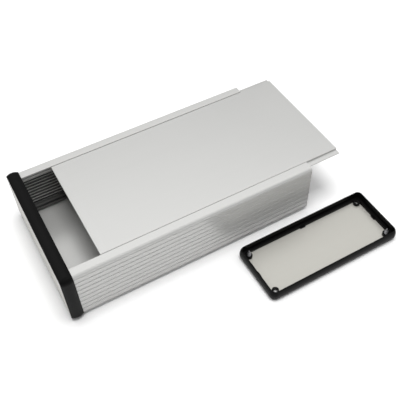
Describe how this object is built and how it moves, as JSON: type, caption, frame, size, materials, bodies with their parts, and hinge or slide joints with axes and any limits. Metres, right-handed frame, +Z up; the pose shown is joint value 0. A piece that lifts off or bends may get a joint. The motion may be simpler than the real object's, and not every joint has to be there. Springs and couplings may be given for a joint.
{
  "type": "extruded aluminium enclosure",
  "caption": "Ribbed extruded aluminium instrument case with a slide cover drawn part of the way out, one end cap fitted and the other lying beside it, inside upwards.",
  "frame": {"origin": "centre of the extrusion's flat underside", "axes": "+X along the extrusion towards its open end, +Y to the back, away from the loose end cap, +Z up"},
  "size_m": [0.2646, 0.1867, 0.0529],
  "materials": {
    "extrusion": "clear anodised, satin, faint drawing lines along its length",
    "cover": "clear anodised, satin, faint drawing lines along its length",
    "moulding": "black moulded ABS, satin with a fine texture",
    "panel": "clear anodised flat sheet, satin",
    "screw": "zinc plated"
  },
  "bodies": {
    "enclosure": {"enclosure_body": "extrusion", "left_bezel": "moulding", "left_end_panel": "panel", "left_screw_1": "screw", "left_screw_2": "screw", "left_screw_3": "screw", "left_screw_4": "screw", "right_bezel": "moulding", "right_end_panel": "panel", "right_screw_1": "screw", "right_screw_2": "screw"},
    "cover": {"slide_cover": "cover"}
  },
  "joints": [
    {"name": "cover_slide", "type": "slide", "parent": "enclosure", "child": "cover", "axis": [1, 0, 0], "range_m": [-0.031, 0.15]}
  ]
}
